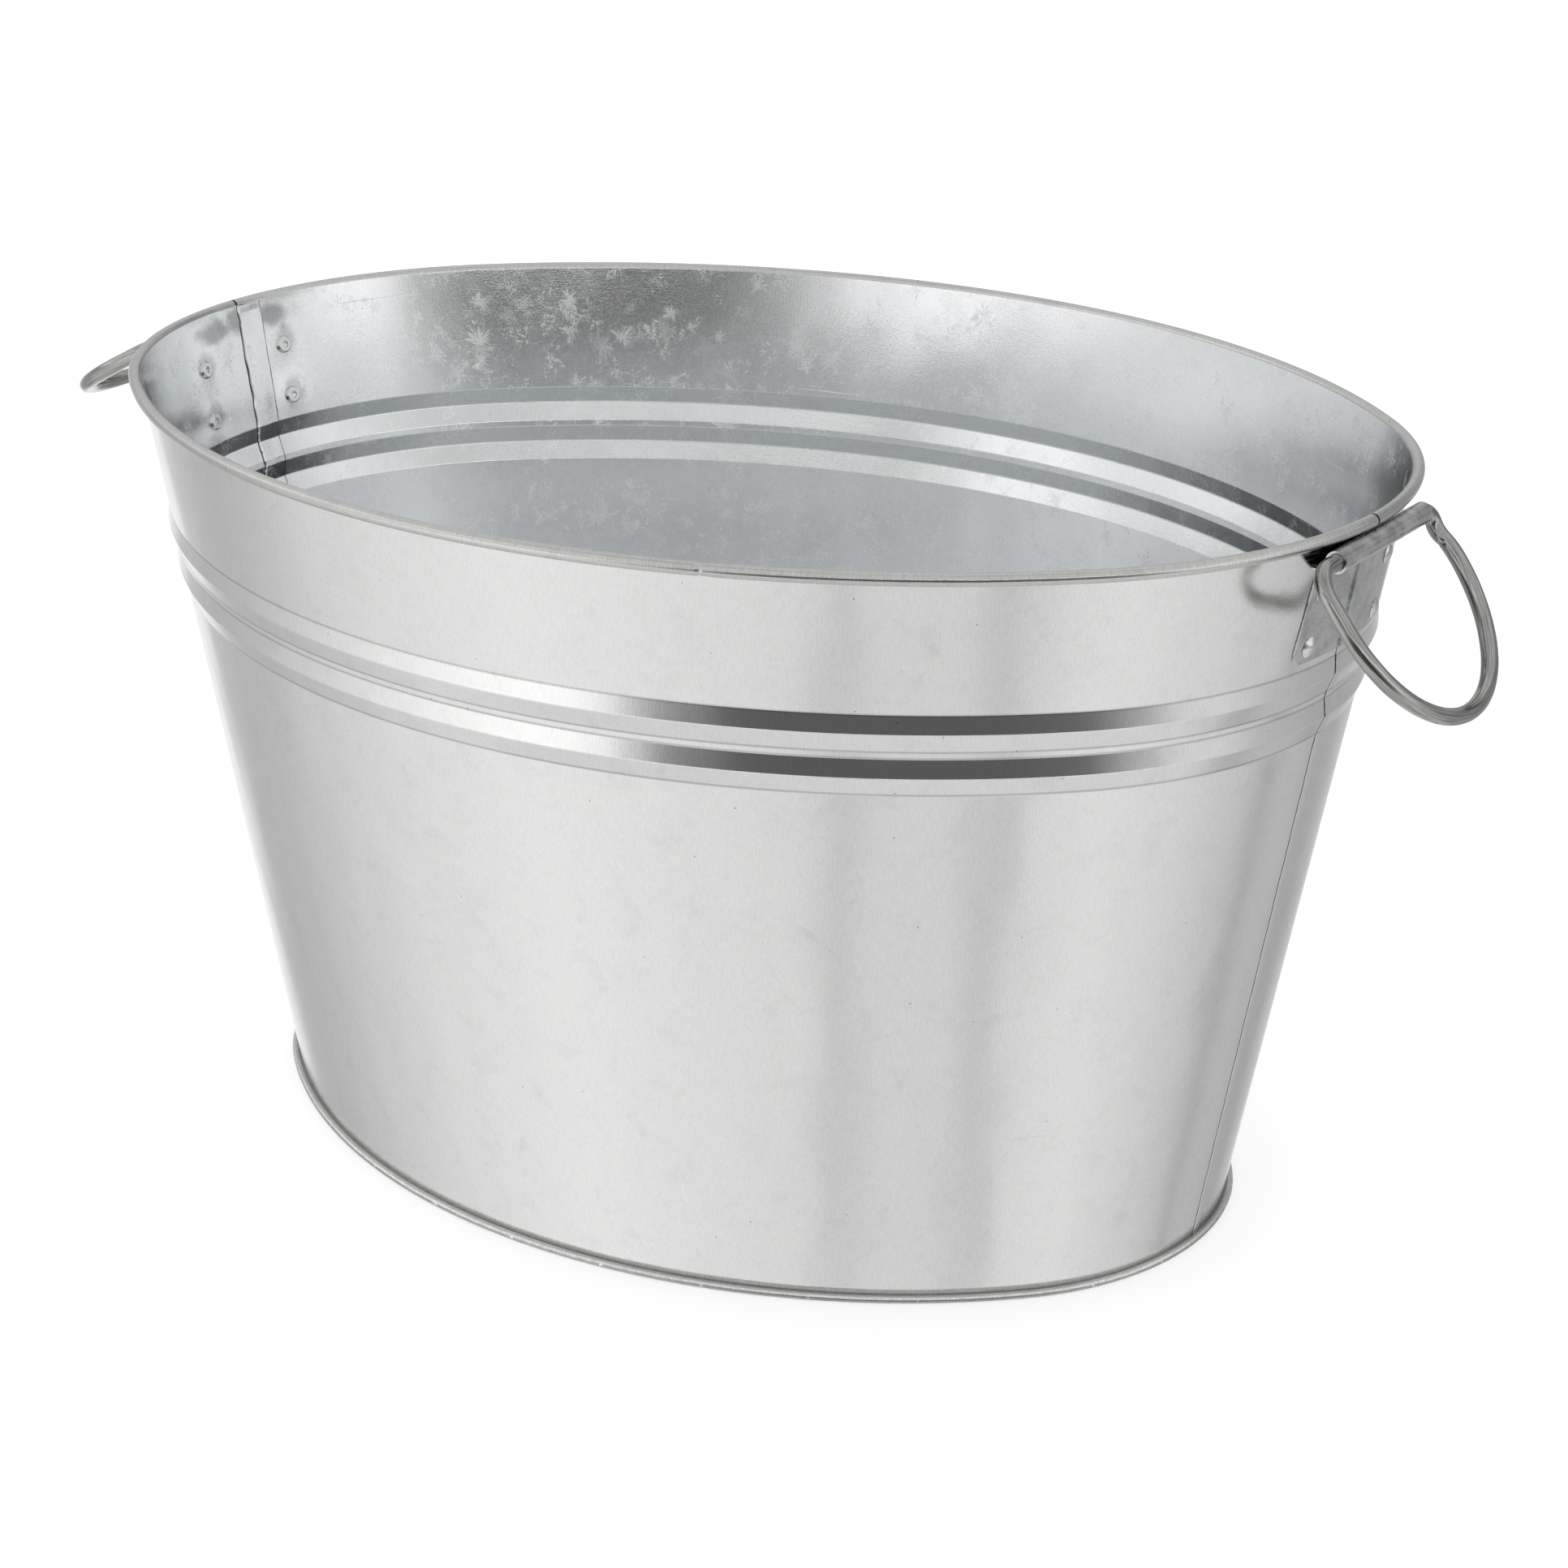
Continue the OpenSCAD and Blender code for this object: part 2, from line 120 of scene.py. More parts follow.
def on_oval(s, u, z, stray=0.0):
    """Points at arc length s, u outwards and z up, that stray sideways."""
    cx, cy, r, t = place(s)
    turn = t + stray / r
    return np.stack([cx + (r + u) * np.cos(turn), cy + (r + u) * np.sin(turn), z], 1)


def rivets():
    """Where the rivets are: arc length and height, for the right and left handles."""
    for end in (0.0, LEFT_HANDLE):
        for side in (-1, 1):
            for z in RIVET_Z:
                yield end + side * RIVET_HALF * END_RADIUS / (END_RADIUS + wall_u(z)), z


def soft_step(x):
    x = np.clip(x, 0, 1)
    return x * x * (3 - 2 * x)


def path_length(points):
    """Length along a row of points up to each of them."""
    return np.concatenate([[0], np.cumsum(np.hypot(*np.diff(points, axis=0).T))])


def grid(rows, count, loop_rows=False, loop_count=True):
    """Faces of a grid of points, row by row. A looped way joins its last points to its first."""
    faces = []
    for i in range(rows if loop_rows else rows - 1):
        here, there = i * count, (i + 1) % rows * count
        for j in range(count if loop_count else count - 1):
            k = (j + 1) % count
            faces.append((here + j, here + k, there + k, there + j))
    return faces


def link(name, verts, faces, uv=None):
    """A smooth mesh object. uv has one place for each vertex."""
    mesh = bpy.data.meshes.new(name)
    mesh.from_pydata([tuple(v) for v in verts], [], faces)
    if uv is not None:
        layer = mesh.uv_layers.new(name="UVMap")
        index = np.zeros(len(mesh.loops), np.int32)
        mesh.loops.foreach_get("vertex_index", index)
        layer.data.foreach_set("uv", np.asarray(uv, np.float32)[index].ravel())
    mesh.polygons.foreach_set("use_smooth", [True] * len(mesh.polygons))
    mesh.update()
    obj = bpy.data.objects.new(name, mesh)
    bpy.context.scene.collection.objects.link(obj)
    return obj


def closed_tube(name, points, along, across, order=(0, 1, 2, 3)):
    """A tube that closes on itself, from rows of points.

    along and across are the UVs of the rows and of the points in a row, in millimetres,
    with one more value where each loop closes. order is the order of a face's corners.
    """
    rows, count = len(along) - 1, len(across) - 1
    faces = [tuple(face[n] for n in order) for face in grid(rows, count, loop_rows=True)]
    uv = []
    for near, far in zip(along, along[1:]):
        for low, high in zip(across, across[1:]):
            corners = ((near, low), (near, high), (far, high), (far, low))
            uv += [corners[n] for n in order]
    obj = link(name, points, faces)
    layer = obj.data.uv_layers.new(name="UVMap")
    layer.data.foreach_set("uv", (np.array(uv, np.float32) * MM).ravel())
    return obj


# Wall
def bead_out(z):
    """How far the beads lift the wall at height z, with soft bends at creases and ridge."""

    def bend(x, kink, soft):
        t = x - kink
        return max(t, 0.0) if abs(t) >= soft else (t + soft) ** 2 / (4 * soft)

    up, down = BEAD_OUT / RIDGE, BEAD_OUT / (BEAD_H - RIDGE)
    total = 0.0
    for i in (0, 1):
        d = HEIGHT - BEAD_DROP - i * (BEAD_H + STRIP) - z
        rise, fall = up * bend(d, 0, 0.22), down * bend(d, BEAD_H, 0.25)
        total += rise - (up + down) * bend(d, RIDGE, 0.4) + fall
    return total


def heights():
    """Heights down the wall: close together at the beads, wider on the plain parts."""
    zs, z = [], TOUCH_Z - 0.4
    high = HEIGHT - BEAD_DROP + 2
    low = HEIGHT - BEAD_DROP - 2 * BEAD_H - STRIP - 2
    while z > FLANGE_TOP + 0.6:
        zs.append(z)
        z -= BEAD_STEP if low < z < high else WALL_STEP
    return zs + [FLANGE_TOP + 0.6]


def wall_profile():
    """Closed profile of a sheet: outside going down, flange, inside going up, roll.

    Each point has (u, z, push_u, push_z), the push being one millimetre into the sheet.
    """
    points = []
    for z in ZS:
        out = bead_out(z)
        points.append((wall_u(z) + out * LC, z - out * LS, -LC, LS))
    points += [
        (wall_u(FLANGE_TOP) + 0.7, FLANGE_TOP, 0, 0),
        (FLANGE_END, FLANGE_TOP, 0, 0),
        (FLANGE_END, FLANGE_Z, 0, 0),
        (wall_u(FLANGE_Z) + 0.2, FLANGE_Z, 0, 0),
    ]
    for z in reversed(ZS):
        out = bead_out(z) - SHEET
        points.append((wall_u(z) + out * LC, z - out * LS, -LC, LS))
    first = math.pi - LEAN
    out_and_back = range(ROLL_POINTS + 1), range(ROLL_POINTS, -1, -1)
    for radius, order in zip((ROLL_OUT, ROLL_IN), out_and_back):
        for i in order:
            t = first - ROLL_TURN * i / ROLL_POINTS
            c, s = math.cos(t), math.sin(t)
            points.append((radius * c, RIM_Z + radius * s, -c, -s))
    return np.array(points)


ZS = heights()
PROFILE = wall_profile()
PROFILE_LENGTH = path_length(PROFILE[:, :2])
# The profile's points before OUTSIDE_END are the outside and flange, then the inside,
# and from INSIDE_END the roll
OUTSIDE_END, INSIDE_END = len(ZS) + 4, 2 * len(ZS) + 4
INSIDE_TOP = PROFILE_LENGTH[INSIDE_END - 1]

# Stations that follow a sheet's end edge, and the dent over the wire's butt joint
EDGE_STEPS = [0.0, 0.05, 0.1, 0.17, 0.25, 0.33, 0.4, 0.7, 1.1, 1.6, 2.2]
DENT_STEPS = (-2.2, -1.6, -1.2, -0.8, -0.4, 0, 0.4, 0.8, 1.2, 1.6, 2.2)

# Painted dark reflections inside, round the rivets and by the seams' tops:
# (place round, distance along the sheet, half width, half height, tone left)
DARK_REFLECTION_SPOTS = [
    (s % AROUND - 1.5, INSIDE_TOP - (ZS[0] - z) / LC + 1.5, 8.0, 8.0, 0.7) for s, z in rivets()
]
DARK_REFLECTION_SPOTS += [
    (s + d, INSIDE_TOP - h, w, 7.0, 0.52)
    for s in (LEFT_SEAM, AROUND + RIGHT_SEAM)
    for d, h, w in ((26, 7, 16), (10, 6, 12), (-13, 8, 11))
]


def waver(z):
    """How far a hand-closed seam's line strays sideways at height z, in millimetres."""
    return 0.16 * np.sin(z * 0.23) + 0.11 * np.sin(z * 0.61 + 1) + 0.07 * np.sin(z * 1.3 + 2)


def edge(distance):
    """How far a folded edge curves inwards at this distance from its crack."""
    if distance >= CRACK_EDGE:
        return 0.0
    level = math.sqrt(max(CRACK_EDGE**2 - (CRACK_EDGE - distance) ** 2, 0.0))
    return CRACK_EDGE - level


def dimple(s, u, z, on_wall):
    """Riveting draws the sheet in a little round each rivet."""
    push = np.zeros(len(u))
    for rs, rz in rivets():
        ds = (s - rs + AROUND / 2) % AROUND - AROUND / 2
        if abs(ds) < 30:
            d2 = ds * ds + (z - rz) ** 2
            push += 0.4 * np.exp(-d2 / 70) - 0.3 * np.exp(-d2 / 260)
    push[~on_wall] = 0
    return u - push * LC, z + push * LS


def wall_sheet(name, s0, s1, node):
    """Half of the wall, swept from arc length s0 to s1, with the rolled rim and the flange."""
    inner = list(np.arange(s0 + WALL_STEP, s1 - WALL_STEP + 1e-6, WALL_STEP))
    stations = [s0 + f for f in EDGE_STEPS] + inner + [s1 - f for f in reversed(EDGE_STEPS)]
    if s0 < BUTT_S < s1:
        stations = sorted(stations + [BUTT_S + d for d in DENT_STEPS])
    count = len(PROFILE)
    on_roll = np.hypot(PROFILE[:, 0], PROFILE[:, 1] - RIM_Z) < ROLL_OUT + 0.01
    verts, uv = [], []
    for s in stations:
        from_end = min(s - s0, s1 - s)
        push = np.full(count, edge(from_end))
        push[on_roll] *= 0.6
        # The lapped end of the sheet stands proud of the other one, below the roll
        raised = LAP * (1 - soft_step((s - s0 - SEAM_W + 0.6) / 1.3))
        push[~on_roll] -= raised * soft_step((RIM_Z - 6 - PROFILE[~on_roll, 1]) / 6)
        stray = waver(PROFILE[:, 1]) * math.exp(-from_end / 2) * ~on_roll
        # On the roll the left joint lies a seam's width further round
        if abs(s - LEFT_SEAM) < 22:
            stray = stray + on_roll * SEAM_W * (1 - abs(s - LEFT_SEAM) / 22)
        dent = 0.3 * math.exp(-((s - BUTT_S) / 0.7) ** 2)
        push[on_roll] += dent + 0.12 * math.exp(-((s - BUTT_S - 1.5) / 2.5) ** 2)
        u = PROFILE[:, 0] + push * PROFILE[:, 2]
        z = PROFILE[:, 1] + push * PROFILE[:, 3]
        u, z = dimple(s, u, z, ~on_roll)
        verts.append(on_oval(s, u, z, stray))
        uv.append(np.stack([np.full(count, s), PROFILE_LENGTH], 1))
    rows = len(stations)
    faces = grid(rows, count)
    faces.append(tuple(range(count - 1, -1, -1)))
    faces.append(tuple((rows - 1) * count + j for j in range(count)))
    obj = link(name, np.concatenate(verts) * MM, faces, np.concatenate(uv) * MM)
    for made in (zinc_outside, zinc_inside, zinc_rim):
        obj.data.materials.append(made)
    zone = [0 if j < OUTSIDE_END else 1 if j < INSIDE_END else 2 for j in range(count)]
    obj.data.polygons.foreach_set("material_index", zone * (rows - 1) + [0, 0])
    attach(obj, "tub")
    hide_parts(node)


def seam_fold(name, joint):
    """A side seam's fold, seen inside: a soft jog on one edge, and on the other a crack whose
    faces carry painted shade.
    """
    zs = np.array([z for z in ZS if z > 6])
    top = soft_step((ZS[0] + 4 - zs) / 5)
    # Across the fold: (distance from the joint, height, 1 where it is the crack)
    across = [(-7.1, -0.2, 1)]
    across += [(-7.0 + 8.8 * k / 10, FOLD * float(soft_step(k / 10)), 0) for k in range(11)]
    across += [(d, FOLD, 0) for d in (2.2, 2.8, 3.4, 4.2, 5.0, 5.7, 6.2)]
    for a in (15, 30, 45, 60, 75, 90):
        lower = FOLD - FOLD_EDGE + FOLD_EDGE * math.cos(a * RAD)
        across.append((SEAM_W - FOLD_EDGE + FOLD_EDGE * math.sin(a * RAD), lower, 0))
    across += [(SEAM_W, 0.06, 0), (SEAM_W + 0.25, 0.05, 1), (SEAM_W + 0.3, -0.2, 1)]
    verts, uv = [], []
    for d, lift, _ in across:
        stray = waver(zs) * 0.6
        if d > SEAM_W - 1:
            stray = waver(zs) * 1.6 + 0.16 * np.sin(zs * 1.9) * np.sin(zs * 0.7)
        out = np.array([bead_out(z) for z in zs]) - SHEET - (lift * top if lift > 0 else lift)
        u, z = np.array([wall_u(v) for v in zs]) + out * LC, zs - out * LS
        verts.append(on_oval(joint + d, u, z, stray))
        uv.append(np.stack([np.full(len(zs), joint + d), 400 + zs], 1))
    rows, count = len(across), len(zs)
    faces = grid(rows, count, loop_rows=True, loop_count=False)
    faces.append(tuple(i * count for i in range(rows)))
    faces.append(tuple((rows - 1 - i) * count + count - 1 for i in range(rows)))
    obj = link(name, np.concatenate(verts) * MM, faces, np.concatenate(uv) * MM)
    obj.data.materials.append(zinc_inside)
    obj.data.materials.append(crack_shade)
    # faces at the crack and the fold's last edge get crack_shade, a painted shade
    zone = []
    for i in range(rows):
        zone += [1 if across[i][2] or i >= rows - 3 else 0] * (count - 1)
    obj.data.polygons.foreach_set("material_index", zone + [1, 1])
    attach(obj, "tub")


# Small pieces
def bottom_seam():
    """The bottom seam's outside: a ledge, a rounded edge and a face, which its material paints
    with shadow, a highlight and shade.
    """
    lip = wall_u(BOTTOM_SEAM_H)
    hook_u = BASE_U + BOTTOM_SEAM_OUT - HOOK_R
    radius = HOOK_R + SKIN
    profile = [(lip + 0.02, 2.9), (lip + 0.45, 2.74), (lip + 0.9, HOOK_R + radius)]
    for a in range(90, -66, -13):
        profile.append((hook_u + radius * math.cos(a * RAD), HOOK_R + radius * math.sin(a * RAD)))
    profile += [(hook_u, 0.6), (lip, 2.0)]
    profile = np.array(profile)
    length = path_length(profile)
    on_face = (np.arange(len(profile)) > 2) & (np.arange(len(profile)) < 12)
    rows = int(AROUND / SEAM_STEP)
    along = [i * AROUND / rows for i in range(rows + 1)]
    verts = []
    for s in along[:-1]:
        u = profile[:, 0] + 0.05 * math.sin(s * 0.13) * on_face
        verts.append(on_oval(s, u, profile[:, 1]))
    across = list(length) + [length[-1] + 1]
    points = np.concatenate(verts) * MM
    obj = closed_tube("bottom_seam_skin", points, along, across, (0, 3, 2, 1))
    obj.data.materials.append(seam_metal)
    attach(obj, "tub")


# Section of a rivet's tail from its foot to its hollow: (wider than the shank's reach, height)
TAIL_ROLL = [
    (0.35, -0.1), (0.3, 0.12), (0.1, 0.5), (-0.25, 0.95), (-0.75, 1.28),
    (-1.2, 1.36), (-1.6, 1.22), (-1.95, 0.85),
]
TAIL_HOLLOW = [(1.35, 0.5), (0.8, 0.42), (0.05, 0.4)]
TAIL_REACH = 3.5


def rivet_tail(name, s, z):
    """The clinched tail of a rivet inside the tub: a rolled ring round a hollow."""
    half = [(TAIL_REACH + wider, height) for wider, height in TAIL_ROLL] + TAIL_HOLLOW
    cx, cy, r, t = place(s)
    reach = r + wall_u(z) - SHEET * LC
    middle = np.array([cx + reach * math.cos(t), cy + reach * math.sin(t), z + SHEET * LS])
    axis = np.array([-LC * math.cos(t), -LC * math.sin(t), LS])
    level = np.array([-math.sin(t), math.cos(t), 0.0])
    rise = np.cross(axis, level)
    verts = []
    for radius, height in half:
        for i in range(TAIL_POINTS):
            a = 2 * math.pi * i / TAIL_POINTS
            wide = radius * (1 + 0.02 * math.sin(2 * a + s) + 0.012 * math.sin(5 * a + z))
            way = math.cos(a) * level + math.sin(a) * rise
            verts.append(middle + axis * height + wide * way)
    faces = grid(len(half), TAIL_POINTS)
    faces.append(tuple(range(TAIL_POINTS - 1, -1, -1)))
    faces.append(tuple((len(half) - 1) * TAIL_POINTS + i for i in range(TAIL_POINTS)))
    obj = link(name, np.array(verts) * MM, faces)
    obj.data.materials.append(rivet_metal)
    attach(obj, "tub")


# Handle rings
def belt(circles):
    """The line drawn tight round two corner circles and a foot circle.

    Each circle is (out, along, radius). Returns points an even step apart, and the length.
    """
    turns = np.linspace(math.pi, 3 * math.pi, 720, endpoint=False)
    ways = np.stack([np.cos(turns), np.sin(turns)], 1)
    middle, radius = np.array([c[:2] for c in circles]), np.array([c[2] for c in circles])
    reach = ways @ middle.T + radius
    reach[ways[:, 0] < -0.3, 2] = -999  # the foot's circle is used on its own side only
    first = reach.argmax(1)
    line = middle[first] + radius[first][:, None] * ways
    line = np.concatenate([line, line[:1]])
    gone = path_length(line)
    at = np.linspace(0, gone[-1], int(gone[-1] / RING_STEP))
    points = np.stack([np.interp(at, gone, line[:, 0]), np.interp(at, gone, line[:, 1])], 1)
    return points[:-1], gone[-1]


def ring_skin(name, joint, hang, circles, crimp, turned, body, node, bent=0.0):
    """A handle ring: round wire bent by hand round two corners and a wide foot.

    joint is the middle of its barrel, hang its angle below level in degrees, and turned
    its heading. The wire has a crimp where one bend ends. One leg is bent this many
    millimetres off the ring's plane near the barrel, where it passes the rim.
    """
    path, total = belt(circles)
    rows, count = len(path), RING_POINTS
    ahead = np.roll(path, -1, 0) - np.roll(path, 1, 0)
    ahead /= np.hypot(*ahead.T)[:, None]
    side = np.stack([-ahead[:, 1], ahead[:, 0]], 1)
    at = np.arange(rows) * total / rows
    near = at[np.hypot(*(path - np.array(crimp)).T).argmin()]
    angle = np.arange(count) * 2 * math.pi / count
    to_middle = ((circles[2][:2] - path) * side).sum(1)
    inward = np.sign(to_middle)[:, None] * np.cos(angle)
    off = (at - near)[:, None]
    radius = WIRE_R - 0.3 * np.exp(-(off / 0.8) ** 2) * np.clip(inward + 0.3, 0, 1)
    radius += 0.1 * np.exp(-((off - 2.6) / 1.5) ** 2) * np.clip(inward, 0, 1)
    radius += 0.02 * np.sin(at * 0.21)[:, None] + 0.01 * np.sin(at * 0.57 + 1)[:, None]
    out = path[:, None, 0] + side[:, None, 0] * np.cos(angle) * radius
    along = path[:, None, 1] + side[:, None, 1] * np.cos(angle) * radius
    off_plane = bent * np.exp(-(((path[:, 0] - 8.0) / 5.5) ** 2))
    off_plane *= soft_step((path[:, 1] - 36.2) / 4.5)
    lift = np.sin(angle) * radius + off_plane[:, None]
    x = out * math.cos(hang * RAD) + lift * math.sin(hang * RAD)
    z = -out * math.sin(hang * RAD) + lift * math.cos(hang * RAD)
    c, q = math.cos(turned), math.sin(turned)
    points = np.stack([x * c - along * q, x * q + along * c, z], 2).reshape(-1, 3) * MM
    rows_uv = [i * total / rows for i in range(rows + 1)]
    round_uv = [j * WIRE_ROUND / count for j in range(count + 1)]
    obj = closed_tube(name, points + np.array(joint), rows_uv, round_uv)
    obj.data.materials.append(ring_metal)
    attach(obj, body)
    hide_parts(node)


# Materials
class Tree:
    """Short forms for making shader nodes. A value is a number, a tuple or an output."""

    def __init__(self, tree):
        self.tree = tree
        tree.nodes.clear()

    def node(self, kind, **settings):
        made = self.tree.nodes.new("ShaderNode" + kind)
        for key, value in settings.items():
            setattr(made, key, value)
        return made

    def put(self, socket, value):
        if isinstance(value, bpy.types.NodeSocket):
            self.tree.links.new(value, socket)
        elif value is not None:
            socket.default_value = value

    def math(self, operation, a, b=None, clamp=False):
        made = self.node("Math", operation=operation, use_clamp=clamp)
        self.put(made.inputs[0], a)
        self.put(made.inputs[1], b)
        return made.outputs[0]

    def add(self, a, b, clamp=False):
        return self.math("ADD", a, b, clamp)

    def sub(self, a, b):
        return self.math("SUBTRACT", a, b)

    def mul(self, a, b, clamp=False):
        return self.math("MULTIPLY", a, b, clamp)

    def apart(self, a, b):
        """How far a is from b."""
        return self.math("ABSOLUTE", self.sub(a, b))

    def less(self, mask, share):
        """One, less this share where the mask is one."""
        return self.sub(1.0, self.mul(mask, share))

    def vector(self, operation, a, b=None):
        made = self.node("VectorMath", operation=operation)
        self.put(made.inputs[0], a)
        self.put(made.inputs[3 if operation == "SCALE" else 1], b)
        return made.outputs[1] if operation == "LENGTH" else made.outputs[0]

    def combine(self, x, y, z=0.0):
        made = self.node("CombineXYZ")
        for socket, value in zip(made.inputs, (x, y, z)):
            self.put(socket, value)
        return made.outputs[0]

    def split(self, vector):
        made = self.node("SeparateXYZ")
        self.put(made.inputs[0], vector)
        return made.outputs

    def stretch(self, parts, *scales):
        """The split point with its parts scaled, which draws noise out along some of them."""
        scaled = list(parts)
        for i, scale in enumerate(scales):
            if scale != 1.0:
                scaled[i] = self.mul(scaled[i], scale)
        return self.combine(*scaled)

    def smooth(self, value, low, high, start=0.0, end=1.0):
        """Start below low, end above high, and a smooth step between them."""
        made = self.node("MapRange", interpolation_type="SMOOTHSTEP")
        for socket, v in zip(made.inputs, (value, low, high, start, end)):
            self.put(socket, v)
        return made.outputs[0]

    def mix(self, factor, a, b):
        made = self.node("Mix", data_type="FLOAT")
        for index, value in ((0, factor), (2, a), (3, b)):
            self.put(made.inputs[index], value)
        return made.outputs[0]

    def tint(self, factor, a, b, blend="MIX"):
        made = self.node("Mix", data_type="RGBA", blend_type=blend)
        for index, value in ((0, factor), (6, a), (7, b)):
            self.put(made.inputs[index], (*value, 1) if isinstance(value, tuple) else value)
        return made.outputs[2]

    def shaded(self, color, shade):
        return self.tint(1.0, color, self.combine(shade, shade, shade), "MULTIPLY")

    def noise(self, vector, scale, detail=2.0, rough=0.5, distort=0.0):
        made = self.node("TexNoise")
        self.put(made.inputs["Vector"], vector)
        self.put(made.inputs["Scale"], scale)
        self.put(made.inputs["Detail"], detail)
        self.put(made.inputs["Roughness"], rough)
        self.put(made.inputs["Distortion"], distort)
        return made.outputs["Fac"]

    def voronoi(self, vector, scale):
        made = self.node("TexVoronoi", voronoi_dimensions="3D", feature="F1")
        self.put(made.inputs["Vector"], vector)
        self.put(made.inputs["Scale"], scale)
        return made.outputs

    def ramp(self, value, stops):
        """Greys at up to 32 places from 0 to 1."""
        made = self.node("ValToRGB")
        elements = made.color_ramp.elements
        while len(elements) < len(stops):
            elements.new(0.5)
        for element, (position, v) in zip(elements, stops):
            element.position = position
            element.color = (v, v, v, 1)
        self.put(made.inputs[0], value)
        return made.outputs[0]

    def bump(self, height, strength, distance, normal=None):
        made = self.node("Bump")
        self.put(made.inputs["Height"], height)
        self.put(made.inputs["Strength"], strength)
        self.put(made.inputs["Distance"], distance)
        self.put(made.inputs["Normal"], normal)
        return made.outputs[0]


def new_material(name, coords="Object"):
    """A material, its tree, its shader and its coordinates in millimetres."""
    material = bpy.data.materials.new(name)
    material.use_nodes = True
    t = Tree(material.node_tree)
    out, shader = t.node("OutputMaterial"), t.node("BsdfPrincipled")
    t.put(out.inputs[0], shader.outputs[0])
    point = t.vector("SCALE", t.node("TexCoord").outputs[coords], 1000.0)
    return material, t, shader, point


def metal(name, coords, draw):
    """A metallic material. coords is "UV" on swept sheets and wires, or "Object"."""
    material, t, shader, point = new_material(name, coords)
    shader.inputs["Metallic"].default_value = 1.0
    color, rough, normal = draw(t, point)
    t.put(shader.inputs["Base Color"], color)
    t.put(shader.inputs["Roughness"], rough)
    t.put(shader.inputs["Normal"], normal)
    return material


def flowers(t, point, size, seed):
    """Zinc crystals: feathery stars of needles that grow from scattered seeds, 0 to 1."""
    shifted = t.vector("ADD", point, (seed * 37.0, seed * 11.0, 0.0))
    cell = t.voronoi(shifted, 1.0 / size)
    arm = t.vector("SUBTRACT", shifted, cell["Position"])
    reach = t.vector("LENGTH", arm)
    way = t.vector("NORMALIZE", arm)
    chance = t.split(cell["Color"])
    spot = t.mul(chance[1], 40.0)
    shift = t.combine(spot, 0.0, t.mul(reach, 0.22))
    needle_at = t.vector("ADD", t.vector("SCALE", way, 5.5), shift)
    needles = t.noise(needle_at, 1.0, 3.0, 0.7)
    lobe_at = t.vector("ADD", t.vector("SCALE", way, 1.5), t.combine(spot, 9.0, 0.0))
    lobes = t.noise(lobe_at, 1.0, 1.0, 0.5)
    longest = t.mul(t.add(t.mul(chance[0], 0.6), 0.4), size * 0.78)
    longest = t.mul(longest, t.smooth(lobes, 0.38, 0.62, 0.5, 1.1))
    edge_at = t.mul(longest, t.smooth(needles, 0.4, 0.62, 0.5, 1.15))
    body = t.smooth(t.math("DIVIDE", reach, edge_at), 1.05, 0.2)
    dull = t.smooth(chance[2], 0.0, 0.35, 0.3, 1.0)
    shine = t.mul(t.smooth(needles, 0.38, 0.64, 0.25, 1.0), dull)
    return t.mul(body, shine, clamp=True)


def joint_line(t, x, grain, joint, gap):
    """The dark, slightly ragged line of a seam's joint."""
    away = t.add(t.apart(x, joint), t.mul(grain, 0.3))
    return t.smooth(away, gap, gap + 0.35, 0.08, 1.0)


def plate_edge_shadow(t, x, y, middle):
    """Painted shadow along the sides and the lower edge of an ear's plate, where the plate stands
    off the wall.
    """
    away = t.apart(x, middle)
    half = t.add(t.mul(y, PLATE_FLARE), PLATE_HALF)
    beside = t.mul(t.smooth(t.apart(away, half), 1.0, 0.35), t.smooth(y, 47.5, 44.0))
    under = t.mul(t.smooth(t.apart(y, PLATE_END), 0.9, 0.3), t.smooth(away, 33.0, 31.0))
    return t.sub(1.0, t.add(t.mul(beside, 0.8), t.mul(under, 0.45)))


def dark_reflection_spot(t, x, y, cloudlet, spot):
    """A painted dark reflection: a dark spot with a cloudy edge."""
    at_x, at_y, wide, deep, dark = spot
    way = t.combine(t.math("DIVIDE", t.sub(x, at_x), wide), t.math("DIVIDE", t.sub(y, at_y), deep))
    away = t.add(t.vector("LENGTH", way), t.mul(t.sub(cloudlet, 0.5), 1.3))
    return t.smooth(away, 0.35, 1.1, dark, 1.0)


